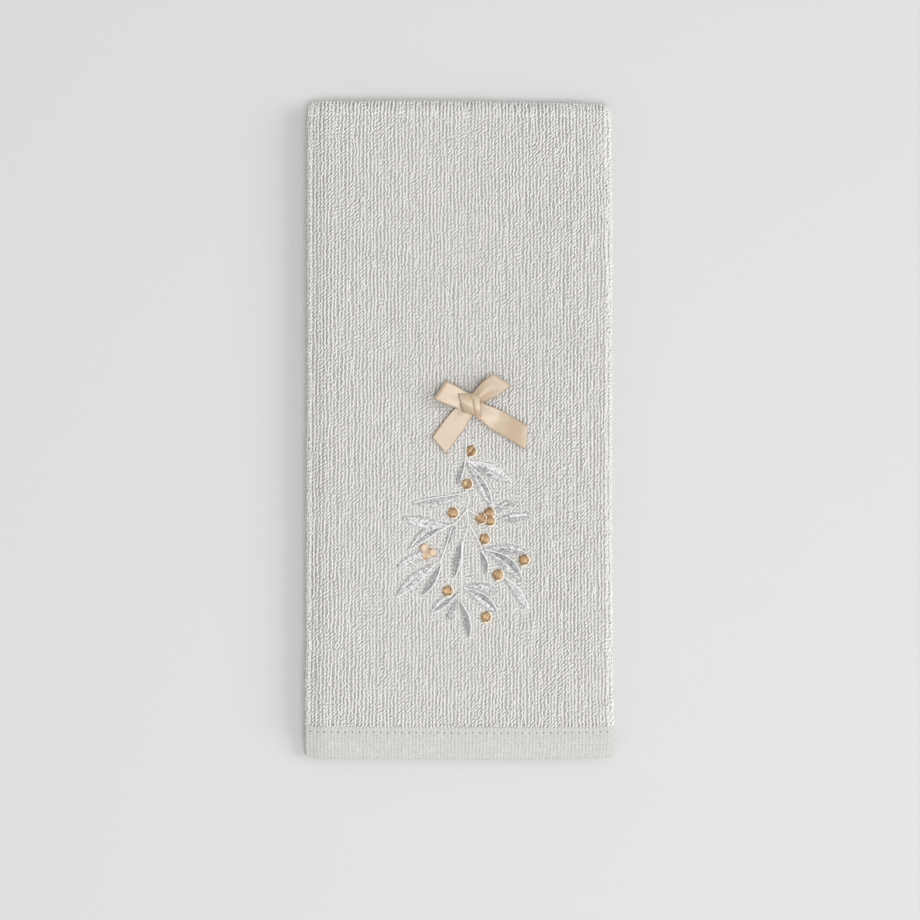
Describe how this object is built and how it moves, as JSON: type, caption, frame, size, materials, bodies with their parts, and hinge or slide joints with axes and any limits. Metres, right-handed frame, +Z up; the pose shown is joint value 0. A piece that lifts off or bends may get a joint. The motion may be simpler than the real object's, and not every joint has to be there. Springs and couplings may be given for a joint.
{
  "type": "tea towel",
  "caption": "Terry tea towel folded in thirds and doubled, flat hems at the open end, with a satin ribbon bow sewn on the front above an embroidered leaf sprig.",
  "frame": {"origin": "middle of the footprint, on the surface the towel lies on", "axes": "+Z up out of the front panel, +Y along the towel to its doubled end, +X to the right when the bow reads upright"},
  "size_m": [0.1432, 0.305, 0.0194],
  "materials": {
    "terry": "off-white cotton terry with loops on both faces and flat woven hems",
    "ribbon": "champagne satin with woven edges"
  },
  "bodies": {
    "root": {"towel": "terry", "ribbon_bow": "ribbon"}
  },
  "joints": []
}
